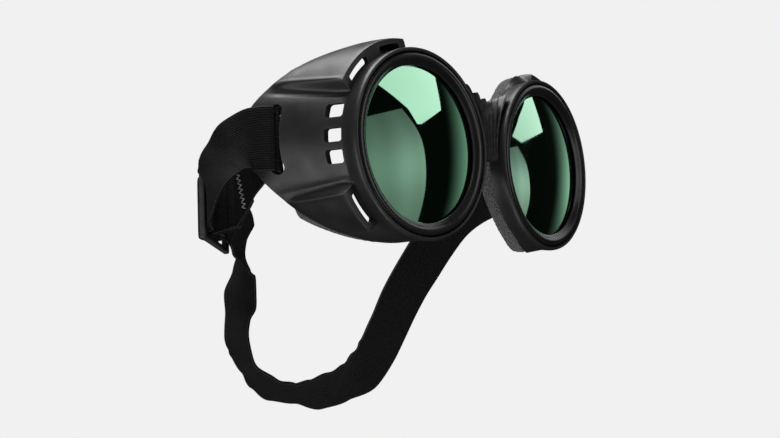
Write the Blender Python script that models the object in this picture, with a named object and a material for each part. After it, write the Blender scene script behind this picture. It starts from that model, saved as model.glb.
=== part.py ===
"""Welding goggles with two round eye cups, a fluted rubber nose bridge and an elastic strap.

Frame: metres, +Z up, +X to the wearer's left, -Y is the way the lenses look.
The origin is the seat between the two foam pads, where the face carries the goggles.
Most sizes below are in millimetres and are scaled once, when a mesh is made.
"""

import math

import bmesh
import bpy
from mathutils import Vector

MM = 0.001

# Layout of the pair
CUP_SPACING = 66.9        # between the centres of the two lenses
WRAP = math.radians(4.2)  # each cup turns outward by this much
FRONT_TO_SEAT = 12.0      # from the front of the rims back to the face seat
SIDES = {"left": -1, "right": 1}

# Retaining ring and the lens stack behind it
MOUTH_R = 24.6
LIP_BACK_R = 23.5
RING_R = 27.2
BORE_R = 27.5
RIM_R = 28.7
LENS_R = 25.0
LENS_DOME_R = 23.2
LENS_CURVE = 150.0
LENS_FRONT = 2.2
LENS_T = 1.8
SEAL_INNER_R = 23.6
SEAT_DEPTH = 5.1
SEAT_T = 1.0
SEAT_R = 23.3

# Eye cup
WALL = 1.8
SHOULDER = 5.6
HOOD_R = 32.3
HOODS = ((92.0, 151.0), (-152.0, -124.0))
HOOD_EDGE = 2.2
HOOD_WALL = 1.6
REAR_FLANGE = 2.6
NOSE_DEPTH = 7.3
# rear outline: radius at each angle, 0 at the nose, 90 on top, 180 at the temple
REAR_OUTLINE = (
    (-165, 36.0), (-150, 33.6), (-120, 30.4), (-90, 28.3), (-60, 26.2), (-30, 25.0),
    (0, 24.9), (30, 25.6), (60, 28.0), (90, 32.0), (120, 33.4), (150, 37.0),
    (165, 38.8), (180, 38.4),
)
REAR_DEPTH = (10.5, -0.34, 0.0095)  # depth of the rear edge against distance inward

# Openings in the cup
SHOULDER_VENTS = ((98.0, 115.0), (127.0, 146.0), (-147.5, -127.5))
VENT_INNER_R = 28.5
VENT_OUTER_R = 30.6
SIDE_VENT_Z = (7.9, 0.8, -5.3)
SIDE_VENT_H = 4.0
SIDE_VENT_FRONT = 6.3
SIDE_VENT_L = 5.2
SLOT_Z = 1.7
SLOT_H = 20.6
SLOT_FRONT = 25.6
SLOT_W = 3.8

# Foam pads
FOAM_T = 5.2
FOAM_W = 3.6
FOAM_INSET = 0.4
FOAM_STRAP_GAP = 6.4

# Nose bridge
BRIDGE_T = 1.2
BRIDGE_FOLD = 4.0
BRIDGE_FLUTES = 6
BRIDGE_LOW = -1.5
BRIDGE_HIGH = 17.0
BRIDGE_RISE = 4.5
BRIDGE_DEPTH = 2.4

# Strap and slide buckle
STRAP_W = 19.0
STRAP_T = 1.1
GAP = 0.3
BUCKLE_AT = (-65.9, 56.0, -15.5)
BUCKLE_ALONG = (0.88, 0.44, -0.17)
BUCKLE_UP = (-0.15, 0.0, 1.0)
BUCKLE_L = 20.4
BUCKLE_W = 24.4
BUCKLE_BAR = 2.4
BUCKLE_RAIL = 1.6
BUCKLE_T = 1.8

LAYER = 1.2               # second layer of strap at the sewn end


def clear_scene():
    for old in list(bpy.data.objects):
        bpy.data.objects.remove(old, do_unlink=True)


def material(name, color, roughness, metallic=0.0):
    mat = bpy.data.materials.new(name)
    mat.use_nodes = True
    shader = mat.node_tree.nodes["Principled BSDF"]
    shader.inputs["Base Color"].default_value = color
    shader.inputs["Roughness"].default_value = roughness
    shader.inputs["Metallic"].default_value = metallic
    return mat


def make_object(name, verts, faces, mat, origin=(0.0, 0.0, 0.0), sharp=35.0):
    """Mesh object from points in millimetres; origin is in millimetres too."""
    mesh = bpy.data.meshes.new(name)
    base = Vector(origin)
    mesh.from_pydata([(Vector(v) - base) * MM for v in verts], [], faces)
    bm = bmesh.new()
    bm.from_mesh(mesh)
    bmesh.ops.recalc_face_normals(bm, faces=bm.faces)
    bm.to_mesh(mesh)
    bm.free()
    mesh.materials.append(mat)
    obj = bpy.data.objects.new(name, mesh)
    obj.location = base * MM
    bpy.context.scene.collection.objects.link(obj)
    finish_shading(mesh, sharp)
    return obj


def finish_shading(mesh, sharp):
    mesh.polygons.foreach_set("use_smooth", [True] * len(mesh.polygons))
    mesh.set_sharp_from_angle(angle=math.radians(sharp))


def loop_faces(count, size, closed):
    """Quads joining count loops of size points; closed joins the last loop to the first."""
    faces = []
    for i in range(count if closed else count - 1):
        a = i * size
        b = (i + 1) % count * size
        for j in range(size):
            k = (j + 1) % size
            faces.append((a + j, a + k, b + k, b + j))
    return faces


def loft(name, loops, mat, closed=False, origin=(0.0, 0.0, 0.0), sharp=35.0):
    size = len(loops[0])
    verts = [p for loop in loops for p in loop]
    faces = loop_faces(len(loops), size, closed)
    if not closed:
        faces.append(tuple(range(size)))
        faces.append(tuple((len(loops) - 1) * size + j for j in range(size)))
    return make_object(name, verts, faces, mat, origin, sharp)


def bake_modifiers(obj, sharp=35.0):
    graph = bpy.context.evaluated_depsgraph_get()
    mesh = bpy.data.meshes.new_from_object(obj.evaluated_get(graph))
    obj.modifiers.clear()
    obj.data = mesh
    finish_shading(mesh, sharp)


def lerp(a, b, t):
    return a + (b - a) * t


def smooth(t):
    t = min(1.0, max(0.0, t))
    return t * t * (3.0 - 2.0 * t)


# ---------------------------------------------------------------- cup geometry

def cup_point(side, inward, up, depth):
    """Inward runs toward the nose, depth runs back from the front of the rim."""
    x = CUP_SPACING / 2 - inward * math.cos(WRAP) - depth * math.sin(WRAP)
    y = depth * math.cos(WRAP) - inward * math.sin(WRAP) - FRONT_TO_SEAT
    return Vector((side * x, y, up))


def polar_point(side, theta, radius, depth):
    return cup_point(side, radius * math.cos(theta), radius * math.sin(theta), depth)


def rear_radius(theta):
    """Smooth closed curve through REAR_OUTLINE."""
    deg = math.degrees(theta)
    table = list(REAR_OUTLINE)
    low = [(a - 360, r) for a, r in table[-2:]]
    high = [(a + 360, r) for a, r in table[:2]]
    table = low + table + high
    for i in range(1, len(table) - 2):
        (a0, r0), (a1, r1), (a2, r2), (a3, r3) = table[i - 1:i + 3]
        if a1 <= deg <= a2:
            t = (deg - a1) / (a2 - a1)
            m1 = (r2 - r0) / (a2 - a0) * (a2 - a1)
            m2 = (r3 - r1) / (a3 - a1) * (a2 - a1)
            return (
                (2 * t ** 3 - 3 * t ** 2 + 1) * r1 + (t ** 3 - 2 * t ** 2 + t) * m1
                + (3 * t ** 2 - 2 * t ** 3) * r2 + (t ** 3 - t ** 2) * m2
            )
    return table[1][1]


def rear_depth(theta):
    """The rear edge follows the face: shallow at the nose, deep at the temple."""
    inward = rear_radius(theta) * math.cos(theta)
    base, slope, curve = REAR_DEPTH
    return max(NOSE_DEPTH, base + slope * inward + curve * inward ** 2)


def hood_amount(theta):
    deg = math.degrees(theta)
    amount = 0.0
    for start, end in HOODS:
        rise = smooth((deg - start + HOOD_EDGE) / (2 * HOOD_EDGE))
        fall = smooth((end - deg + HOOD_EDGE) / (2 * HOOD_EDGE))
        amount = max(amount, rise * fall)
    return amount


def outer_radius(theta, depth):
    """Outside of the cup behind the shoulder."""
    t = (depth - SHOULDER) / (rear_depth(theta) - SHOULDER)
    t = min(1.0, max(0.0, t))
    plain = lerp(RIM_R - 0.4, rear_radius(theta), t)
    rise = (HOOD_R - RIM_R + 0.4) * (1.0 - t) ** 0.8
    return plain + rise * hood_amount(theta)


def cup_angles():
    extra = []
    for start, end in HOODS:
        for edge in (start, end):
            extra += [edge - HOOD_EDGE, edge - 1.0, edge + 1.0, edge + HOOD_EDGE]
    plain = [a for a in range(-180, 180, 6) if min(abs(a - e) for e in extra) > 2.0]
    return [math.radians(a) for a in sorted(plain + extra)]


def cup_profile(theta):
    """Closed section of the cup wall as (radius, depth), from the mouth round to the bore."""
    rear = rear_depth(theta)
    hood = hood_amount(theta)
    front_r = outer_radius(theta, SHOULDER)
    section = [
        (BORE_R, 0.35),
        (BORE_R + 0.35, 0.1),
        (RIM_R - 0.35, 0.4),
        (RIM_R - 0.02, 1.4),
        (RIM_R - 0.2, 3.4),
        (RIM_R - 0.35, SHOULDER - 0.25),
        (lerp(RIM_R - 0.39, front_r - 0.7, hood), SHOULDER - 0.05),
        (lerp(RIM_R - 0.4, front_r - 0.15, hood), SHOULDER + 0.15),
    ]
    for t in (0.07, 0.25, 0.45, 0.65, 0.85, 1.0):
        depth = lerp(SHOULDER + 0.4, rear, t)
        section.append((outer_radius(theta, depth), depth))
    rear_inner = max(SEAT_R + 0.2, rear_radius(theta) - REAR_FLANGE)
    if abs(math.degrees(theta)) > 158.0:
        rear_inner = rear_radius(theta) - WALL
    section.append((rear_inner, rear))
    inside_front = min(SHOULDER + HOOD_WALL, rear - 0.35)
    for t in (0.86, 0.6, 0.3, 0.0):
        depth = lerp(inside_front, rear - 0.2, t)
        section.append((max(SEAT_R + 0.1, outer_radius(theta, depth) - WALL), depth))
    section += [
        (SEAT_R, SEAT_DEPTH + SEAT_T),
        (SEAT_R, SEAT_DEPTH),
        (BORE_R, SEAT_DEPTH),
    ]
    return section


def box_cutter(points_low, points_high):
    verts = list(points_low) + list(points_high)
    n = len(points_low)
    faces = [tuple(range(n)), tuple(range(2 * n - 1, n - 1, -1))]
    faces += [(j, (j + 1) % n, n + (j + 1) % n, n + j) for j in range(n)]
    return verts, faces


def vent_cutter(side, start, end):
    """Arc-shaped bar through the front step of a hood."""
    steps = 8
    low, high = [], []
    for depth, out in ((SHOULDER - 0.9, low), (SHOULDER + 2.6, high)):
        for i in range(steps + 1):
            a = math.radians(lerp(start, end, i / steps))
            trim = 0.5 if i in (0, steps) else 0.0
            out.append(polar_point(side, a, VENT_OUTER_R - trim, depth))
        for i in range(steps, -1, -1):
            a = math.radians(lerp(start, end, i / steps))
            out.append(polar_point(side, a, VENT_INNER_R, depth))
    return box_cutter(low, high)


def rounded_rect(z, depth, height, length, corner):
    points = []
    for cz, cd, base in ((1, 1, 0), (-1, 1, 90), (-1, -1, 180), (1, -1, 270)):
        for step in (0, 45, 90):
            a = math.radians(base + step)
            points.append((
                z + cz * (height / 2 - corner) + corner * math.cos(a),
                depth + cd * (length / 2 - corner) + corner * math.sin(a),
            ))
    return points


def slot_outline():
    """Long slot with a round relief at each end."""
    relief = SLOT_W / 2 + 0.5
    centre = SLOT_FRONT + SLOT_W / 2
    points = []
    for end in (1, -1):
        for step in range(-120, 121, 30):
            a = math.radians(step)
            points.append((
                SLOT_Z + end * (SLOT_H / 2 - relief + relief * math.cos(a)),
                centre + end * relief * math.sin(a),
            ))
    return points


def side_cutter(side, outline):
    """Prism through the temple wall, along the cup's own sideways axis."""
    low = [cup_point(side, -45.0, z, d) for z, d in outline]
    high = [cup_point(side, -24.0, z, d) for z, d in outline]
    return box_cutter(low, high)


def cut_openings(cup, side):
    cutters = [vent_cutter(side, start, end) for start, end in SHOULDER_VENTS]
    for z in SIDE_VENT_Z:
        depth = SIDE_VENT_FRONT + SIDE_VENT_L / 2
        outline = rounded_rect(z, depth, SIDE_VENT_H, SIDE_VENT_L, 0.8)
        cutters.append(side_cutter(side, outline))
    cutters.append(side_cutter(side, slot_outline()))
    verts, faces = [], []
    for points, quads in cutters:
        base = len(verts)
        verts += points
        faces += [tuple(base + i for i in face) for face in quads]
    tool = make_object("opening_cutter", verts, faces, cup.data.materials[0])
    tool.display_type = "WIRE"
    tool.hide_render = True
    cut = cup.modifiers.new("openings", "BOOLEAN")
    cut.operation = "DIFFERENCE"
    cut.solver = "EXACT"
    cut.object = tool
    bake_modifiers(cup, 32.0)
    bpy.data.objects.remove(tool, do_unlink=True)


def build_cup(name, side, mat):
    loops = []
    for theta in cup_angles():
        loops.append([polar_point(side, theta, r, d) for r, d in cup_profile(theta)])
    cup = loft(f"eye_cup_{name}", loops, mat, closed=True)
    cut_openings(cup, side)
    return cup


def revolve(name, side, section, mat, steps=56, sharp=35.0):
    origin = cup_point(side, 0.0, 0.0, 0.0)
    loops = []
    for i in range(steps):
        theta = 2 * math.pi * i / steps
        loops.append([polar_point(side, theta, r, d) for r, d in section])
    return loft(name, loops, mat, closed=True, origin=origin, sharp=sharp)


def build_ring(name, side, mat):
    section = (
        (MOUTH_R + 0.3, 0.0),
        (MOUTH_R, 0.3),
        (MOUTH_R - 0.4, 1.0),
        (LIP_BACK_R, 1.2),
        (LIP_BACK_R, 1.8),
        (LENS_R + GAP, 1.8),
        (LENS_R + GAP, SEAT_DEPTH - GAP),
        (RING_R, SEAT_DEPTH - GAP),
        (RING_R, 0.35),
        (RING_R - 0.3, 0.0),
    )
    return revolve(f"lens_ring_{name}", side, section, mat)


def build_seal(name, side, mat):
    front = LENS_FRONT + LENS_T + 0.15
    back = SEAT_DEPTH - 0.15
    section = (
        (SEAL_INNER_R, front), (SEAL_INNER_R, back),
        (LENS_R, back), (LENS_R, front),
    )
    return revolve(f"lens_seal_{name}", side, section, mat, steps=40)


def dome(radius):
    """How far the lens face stands forward of its land at this radius."""
    return (LENS_DOME_R ** 2 - radius ** 2) / (2 * LENS_CURVE)


def build_lens(name, side, mat):
    steps = 48
    radii = (LENS_DOME_R, 17.0, 10.5, 4.0)
    stations = [(r, LENS_FRONT - dome(r)) for r in reversed(radii)]
    stations += [(LENS_R - 0.2, LENS_FRONT), (LENS_R, LENS_FRONT + 0.2)]
    back = LENS_FRONT + LENS_T
    stations += [(LENS_R, back - 0.2), (LENS_R - 0.2, back)]
    stations += [(r, back - dome(r)) for r in radii]
    verts = []
    for r, d in stations:
        for i in range(steps):
            verts.append(polar_point(side, 2 * math.pi * i / steps, r, d))
    faces = loop_faces(len(stations), steps, False)
    verts.append(cup_point(side, 0.0, 0.0, LENS_FRONT - dome(0.0)))
    verts.append(cup_point(side, 0.0, 0.0, back - dome(0.0)))
    last = (len(stations) - 1) * steps
    for i in range(steps):
        j = (i + 1) % steps
        faces.append((i, j, len(verts) - 2))
        faces.append((last + i, last + j, len(verts) - 1))
    origin = cup_point(side, 0.0, 0.0, 0.0)
    return make_object(f"filter_lens_{name}", verts, faces, mat, origin)


def build_foam(name, side, mat):
    loops = []
    for i in range(56):
        theta = 2 * math.pi * i / 56 - math.pi
        temple = smooth((abs(math.degrees(theta)) - 138.0) / 14.0)
        outer = rear_radius(theta) - lerp(FOAM_INSET, FOAM_STRAP_GAP, temple)
        front = rear_depth(theta) + GAP
        section = (
            (outer - 0.3, front),
            (outer, front + 0.25 * FOAM_T),
            (outer - 0.5, front + 0.75 * FOAM_T),
            (outer - 1.3, front + FOAM_T),
            (outer - FOAM_W + 0.9, front + FOAM_T),
            (outer - FOAM_W, front + 0.8 * FOAM_T),
            (outer - FOAM_W, front),
        )
        loops.append([polar_point(side, theta, r, d) for r, d in section])
    return loft(f"foam_pad_{name}", loops, mat, closed=True, sharp=60.0)


# ---------------------------------------------------------------- nose bridge

def bridge_half_width(z, y):
    reach = math.sqrt((RIM_R + GAP) ** 2 - z ** 2)
    return CUP_SPACING / 2 - reach * math.cos(WRAP) - (y + 2.1) * math.sin(WRAP)


def build_bridge(mat):
    columns = 4 * BRIDGE_FLUTES
    rows = 6
    front, back = [], []
    for i in range(columns + 1):
        across = 2.0 * i / columns - 1.0
        phase = (i % 4) / 4.0
        fold = 1.0 - abs(2.0 * phase - 1.0) * 2.0
        top = BRIDGE_HIGH + BRIDGE_RISE * abs(across) ** 1.5
        for j in range(rows + 1):
            z = lerp(BRIDGE_LOW, top, j / rows)
            mid = BRIDGE_DEPTH - BRIDGE_FOLD * fold / 2
            x = across * bridge_half_width(z, BRIDGE_DEPTH)
            for shift, out in ((-BRIDGE_T / 2, front), (BRIDGE_T / 2, back)):
                out.append((x, mid + shift - FRONT_TO_SEAT, z))
    verts = front + back
    n = len(front)
    size = rows + 1
    faces = []
    for i in range(columns):
        for j in range(rows):
            a = i * size + j
            faces.append((a, a + size, a + size + 1, a + 1))
            faces.append((n + a, n + a + 1, n + a + size + 1, n + a + size))
        for j in (0, rows):
            a = i * size + j
            faces.append((a, a + size, n + a + size, n + a))
    for i in (0, columns):
        for j in range(rows):
            a = i * size + j
            faces.append((a, a + 1, n + a + 1, n + a))
    return make_object("nose_bridge", verts, faces, mat, sharp=25.0)


# ---------------------------------------------------------------- strap

def spline(stations, steps):
    """Catmull-Rom curve through (point, width direction) stations."""
    points = [Vector(p) for p, _ in stations]
    widths = [Vector(w).normalized() for _, w in stations]
    out = []
    for i in range(len(points) - 1):
        p0 = points[max(i - 1, 0)]
        p1, p2 = points[i], points[i + 1]
        p3 = points[min(i + 2, len(points) - 1)]
        count = steps if i < len(points) - 2 else steps + 1
        for k in range(count):
            t = k / steps
            pos = 0.5 * (
                2 * p1 + (p2 - p0) * t + (2 * p0 - 5 * p1 + 4 * p2 - p3) * t ** 2
                + (3 * p1 - p0 - 3 * p2 + p3) * t ** 3
            )
            out.append((pos, widths[i].lerp(widths[i + 1], smooth(t)).normalized()))
    return out


def ribbon_frames(stations, steps=2, square=1.0):
    """Centre, width direction and outward normal along the curve."""
    line = spline(stations, steps)
    frames = []
    for i, (pos, width) in enumerate(line):
        ahead = line[min(i + 1, len(line) - 1)][0] - line[max(i - 1, 0)][0]
        ahead.normalize()
        width = (width - ahead * width.dot(ahead) * square).normalized()
        frames.append((pos, width, ahead.cross(width).normalized()))
    return frames


def ribbon(name, stations, mat, steps=2, doubled_from=None, square=1.0):
    """Flat strap; from the frame doubled_from on it carries a second layer on its inner face."""
    loops = []
    shift = Vector((0.0, FRONT_TO_SEAT, 0.0))
    for i, (pos, width, normal) in enumerate(ribbon_frames(stations, steps, square)):
        w = width * STRAP_W / 2
        n = normal * STRAP_T / 2
        base = pos - shift
        thin = [base - w - n, base + w - n, base + w + n, base - w + n]
        more = normal * LAYER
        thick = [base - w - n - more, base + w - n - more, base + w + n, base - w + n]
        if doubled_from is None or i <= doubled_from:
            loops.append(thin)
        if doubled_from is not None and i == doubled_from:
            step = width.cross(normal) * 0.2
            thick = [p + step for p in thick]
        if doubled_from is not None and i >= doubled_from:
            loops.append(thick)
    return loft(name, loops, mat, sharp=50.0)


def buckle_axes():
    along = Vector(BUCKLE_ALONG).normalized()
    up = Vector(BUCKLE_UP)
    up = (up - along * up.dot(along)).normalized()
    return along, up, up.cross(along)


def buckle_point(along, across, out):
    l_axis, w_axis, n_axis = buckle_axes()
    return Vector(BUCKLE_AT) + l_axis * along + w_axis * across + n_axis * out


def build_buckle(mat):
    half_l = BUCKLE_L / 2
    half_w = BUCKLE_W / 2
    bar = BUCKLE_BAR
    cuts_l = (-half_l, -half_l + bar, -bar / 2, bar / 2, half_l - bar, half_l)
    rail = BUCKLE_RAIL
    cuts_w = (-half_w, -half_w + rail, half_w - rail, half_w)
    windows = {(1, 1), (3, 1)}
    cells = {(i, j) for i in range(5) for j in range(3)} - windows
    shift = Vector((0.0, FRONT_TO_SEAT, 0.0))
    verts = []
    for out in (-BUCKLE_T / 2, BUCKLE_T / 2):
        for i in range(6):
            for j in range(4):
                verts.append(buckle_point(cuts_l[i], cuts_w[j], out) - shift)
    faces = []
    for i, j in sorted(cells):
        a = i * 4 + j
        corners = (a, a + 4, a + 5, a + 1)
        faces.append(corners)
        faces.append(tuple(24 + c for c in reversed(corners)))
        around = (((i, j - 1), (0, 1)), ((i + 1, j), (1, 2)), ((i, j + 1), (2, 3)), ((i - 1, j), (3, 0)))
        for neighbour, (p, q) in around:
            if neighbour not in cells:
                faces.append((corners[p], corners[q], 24 + corners[q], 24 + corners[p]))
    origin = Vector(BUCKLE_AT) - shift
    buckle = make_object("slide_buckle", verts, faces, mat, origin)
    soft = buckle.modifiers.new("soft_edges", "BEVEL")
    soft.width = 0.45 * MM
    soft.segments = 2
    soft.limit_method = "ANGLE"
    bake_modifiers(buckle, 40.0)
    return buckle


def in_buckle(path):
    """Strap stations given along and out of the buckle's own plane."""
    width = -buckle_axes()[1]
    return [(buckle_point(along, 0.0, out), width) for along, out in path]


def outer_run():
    """Out through the left slot, round behind the temple and over the buckle's middle bar."""
    up = (0.0, 0.0, -1.0)
    free = [
        ((-66.9, 29.2, 1.7), up),
        ((-68.6, 30.3, 1.7), up),
        ((-69.9, 34.2, 1.7), up),
        ((-72.6, 38.0, 0.4), (-0.12, -0.35, -0.93)),
        ((-75.4, 41.2, -3.4), (-0.28, -0.55, -0.79)),
        ((-77.6, 43.4, -8.0), (-0.35, -0.55, -0.75)),
        ((-78.0, 45.2, -11.4), (-0.3, -0.6, -0.7)),
    ]
    end = [(-13.4, -3.4), (-10.2, -2.4), (-7.0, -1.9), (-4.4, 1.0), (-2.2, 3.6), (-0.4, 4.5)]
    return free + in_buckle(end)


def loop_run():
    """Down through the buckle's second window, round the hanging loop and to the right slot."""
    hanging = [
        ((-58.5, 55.0, -18.9), (-0.47, -0.23, -0.85)),
        ((-56.6, 54.4, -21.6), (-0.73, -0.28, -0.63)),
        ((-55.0, 55.0, -24.6), (-0.76, -0.30, -0.58)),
        ((-53.7, 56.5, -27.8), (-0.63, -0.51, -0.58)),
        ((-52.4, 57.7, -31.3), (-0.48, -0.76, -0.44)),
        ((-51.7, 58.6, -35.0), (-0.39, -0.90, -0.21)),
        ((-52.7, 59.4, -40.5), (-0.22, -0.97, 0.03)),
        ((-52.7, 59.4, -46.5), (-0.24, -0.96, 0.10)),
        ((-54.5, 59.2, -51.8), (-0.33, -0.92, 0.15)),
        ((-54.9, 58.1, -57.2), (-0.41, -0.91, 0.06)),
        ((-53.4, 57.6, -61.9), (-0.36, -0.92, -0.15)),
        ((-47.9, 56.9, -66.4), (-0.16, -0.98, -0.14)),
        ((-42.0, 56.9, -69.7), (0.03, -1.0, 0.05)),
        ((-34.7, 57.0, -71.5), (0.03, -0.95, 0.32)),
        ((-24.7, 56.9, -71.3), (-0.03, -0.86, 0.51)),
        ((-14.9, 56.5, -71.3), (-0.11, -0.63, 0.77)),
        ((-4.8, 57.2, -68.3), (-0.30, -0.42, 0.85)),
        ((4.4, 56.8, -64.1), (-0.59, -0.10, 0.80)),
        ((12.9, 56.8, -55.2), (-0.76, -0.01, 0.65)),
        ((21.0, 56.7, -44.4), (-0.77, 0.04, 0.63)),
        ((29.5, 56.8, -35.0), (-0.71, 0.04, 0.71)),
        ((38.9, 56.6, -25.6), (-0.66, 0.08, 0.74)),
        ((49.0, 57.2, -16.8), (-0.52, 0.12, 0.84)),
        ((59.5, 57.4, -9.0), (-0.35, 0.12, 0.93)),
        ((69.0, 55.6, -3.4), (-0.15, 0.08, 0.98)),
        ((75.0, 51.4, -0.2), (-0.03, 0.0, 1.0)),
        ((75.8, 45.2, 1.4), (0.0, 0.0, 1.0)),
        ((72.9, 38.9, 1.7), (0.0, 0.0, 1.0)),
        ((69.9, 34.2, 1.7), (0.0, 0.0, 1.0)),
        ((68.6, 30.3, 1.7), (0.0, 0.0, 1.0)),
        ((66.9, 29.2, 1.7), (0.0, 0.0, 1.0)),
    ]
    start = [(0.4, 4.5), (2.2, 3.6), (4.2, 1.0), (4.9, -2.0)]
    return in_buckle(start) + hanging


def inner_run():
    """In through the left slot and down inside the outer run to the sewn end."""
    free = [
        ((-65.2, 29.6, 1.7), (0.0, 0.0, -1.0)),
        ((-63.6, 30.2, 1.7), (0.05, 0.0, -1.0)),
        ((-62.5, 32.2, 1.4), (0.1, -0.05, -1.0)),
        ((-62.3, 35.2, 0.4), (0.12, -0.2, -0.98)),
        ((-63.5, 38.4, -2.4), (0.35, -0.5, -0.8)),
        ((-63.9, 41.0, -6.6), (0.25, -0.6, -0.76)),
        ((-65.9, 42.6, -10.2), (0.1, -0.4, -0.91)),
    ]
    return free + in_buckle([(-8.6, -10.3), (-7.3, -8.7), (-6.1, -7.2)])


def build_end_loop(mat):
    """The doubled and sewn end of the strap, closed round the buckle's middle bar."""
    outer, hole = [], []
    for step in range(0, 331, 30):
        a = math.radians(140 - step)
        if step <= 270:
            outer.append((2.95 * math.cos(a), 2.95 * math.sin(a)))
        hole.append((1.85 * math.cos(a), 1.85 * math.sin(a)))
    outer += [(-4.22, -7.6), (-6.01, -6.19)]
    shift = Vector((0.0, FRONT_TO_SEAT, 0.0))
    verts = []
    for across in (-STRAP_W / 2, STRAP_W / 2):
        for along, out in outer + hole:
            verts.append(buckle_point(along, across, out) - shift)
    n = len(outer)
    faces = []
    for j in range(n):
        k = (j + 1) % n
        faces.append((j, k, n + k, n + j))
        faces.append((2 * n + j, 2 * n + k, 3 * n + k, 3 * n + j))
        faces.append((j, k, 2 * n + k, 2 * n + j))
        faces.append((n + j, n + k, 3 * n + k, 3 * n + j))
    return make_object("strap_end_loop", verts, faces, mat, sharp=50.0)


def right_tail():
    """The sewn end: in through the right slot and back against the outer run."""
    return [
        ((65.2, 29.6, 1.7), (0.0, 0.0, -1.0)),
        ((63.6, 30.2, 1.7), (-0.05, 0.0, -1.0)),
        ((62.5, 32.4, 1.7), (-0.07, 0.0, -1.0)),
        ((63.0, 36.0, 1.7), (-0.07, 0.0, -1.0)),
        ((64.4, 40.2, 1.7), (-0.04, 0.0, -1.0)),
        ((67.6, 43.2, 1.6), (0.0, 0.0, -1.0)),
        ((71.0, 45.8, 1.2), (0.0, 0.0, -1.0)),
        ((73.2, 49.0, 0.6), (0.0, 0.0, -1.0)),
    ]


def zigzag(name, frames, mat, lift, reach=0.42, passes=22):
    """One raised thread going from edge to edge of the strap."""
    pos, width, normal = frames[0]
    ahead = width.cross(normal)
    shift = Vector((0.0, FRONT_TO_SEAT, 0.0))
    loops = []
    for i in range(passes + 1):
        across = lerp(-reach, reach, i / passes) * STRAP_W
        side = 0.9 if i % 2 else -0.9
        centre = pos + normal * lift + width * across + ahead * side - shift
        w = ahead * 0.24
        n = normal * 0.15
        loops.append([centre - w - n, centre + w - n, centre + w + n, centre - w + n])
    return loft(name, loops, mat)


def main():
    clear_scene()
    cup_mat = material("cup_black_pvc", (0.02, 0.02, 0.021, 1.0), 0.45)
    ring_mat = material("ring_black_nylon", (0.015, 0.015, 0.016, 1.0), 0.38)
    lens_mat = material("filter_green_glass", (0.02, 0.16, 0.08, 1.0), 0.06)
    seal_mat = material("seal_rubber", (0.02, 0.02, 0.02, 1.0), 0.7)
    foam_mat = material("foam_charcoal", (0.05, 0.05, 0.053, 1.0), 0.95)
    bridge_mat = material("bridge_rubber", (0.018, 0.018, 0.018, 1.0), 0.5)
    strap_mat = material("strap_elastic", (0.014, 0.014, 0.015, 1.0), 0.85)
    buckle_mat = material("buckle_black_nylon", (0.016, 0.016, 0.017, 1.0), 0.4)
    thread_mat = material("thread_grey", (0.35, 0.35, 0.34, 1.0), 0.8)
    for name, side in SIDES.items():
        build_cup(name, side, cup_mat)
        build_ring(name, side, ring_mat)
        build_lens(name, side, lens_mat)
        build_seal(name, side, seal_mat)
        build_foam(name, side, foam_mat)
    build_bridge(bridge_mat)
    build_buckle(buckle_mat)
    ribbon("strap_outer_run", outer_run(), strap_mat)
    ribbon("strap_inner_run", inner_run(), strap_mat, doubled_from=12)
    build_end_loop(strap_mat)
    ribbon("strap_loop", loop_run(), strap_mat, square=0.2)
    ribbon("strap_right_end", right_tail(), strap_mat)
    on_strap = STRAP_T / 2 + 1.0
    zigzag("stitching_left", ribbon_frames(inner_run())[13:], thread_mat, on_strap)
    zigzag("stitching_right", ribbon_frames(right_tail())[12:], thread_mat, on_strap)


main()
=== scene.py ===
"""Welding goggles: cups, elastic, foam, rubber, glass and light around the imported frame.

The scene is in metres, +Z up, and the lenses look along -Y. Sizes of the goggles and stations
of the strap are in millimetres; the camera, softboxes and lamps are placed in metres.
"""

import math

import bmesh
import bpy
from mathutils import Matrix, Vector, noise


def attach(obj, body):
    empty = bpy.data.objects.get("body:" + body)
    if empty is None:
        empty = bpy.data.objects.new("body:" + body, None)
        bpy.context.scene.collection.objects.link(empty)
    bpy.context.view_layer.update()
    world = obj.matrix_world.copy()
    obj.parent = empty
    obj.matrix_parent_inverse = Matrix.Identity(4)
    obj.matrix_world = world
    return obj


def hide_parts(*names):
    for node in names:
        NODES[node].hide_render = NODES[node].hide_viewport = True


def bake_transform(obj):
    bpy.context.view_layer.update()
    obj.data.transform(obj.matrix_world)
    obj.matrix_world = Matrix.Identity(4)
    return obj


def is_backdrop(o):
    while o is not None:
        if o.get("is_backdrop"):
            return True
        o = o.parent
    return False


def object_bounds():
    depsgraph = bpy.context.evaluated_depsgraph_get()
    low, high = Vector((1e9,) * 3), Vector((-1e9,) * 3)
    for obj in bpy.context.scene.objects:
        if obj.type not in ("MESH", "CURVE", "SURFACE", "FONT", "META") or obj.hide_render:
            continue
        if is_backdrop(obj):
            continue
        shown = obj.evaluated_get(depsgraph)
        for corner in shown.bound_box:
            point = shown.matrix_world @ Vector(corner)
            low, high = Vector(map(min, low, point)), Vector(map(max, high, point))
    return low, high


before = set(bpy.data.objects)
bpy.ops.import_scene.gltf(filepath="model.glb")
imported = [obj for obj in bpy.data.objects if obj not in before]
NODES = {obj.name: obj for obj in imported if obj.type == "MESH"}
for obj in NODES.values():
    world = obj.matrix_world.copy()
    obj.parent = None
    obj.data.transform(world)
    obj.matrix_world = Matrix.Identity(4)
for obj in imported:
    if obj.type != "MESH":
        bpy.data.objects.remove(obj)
CAD_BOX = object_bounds()

MM = 0.001
SIDES = {"left": -1, "right": 1}

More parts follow.
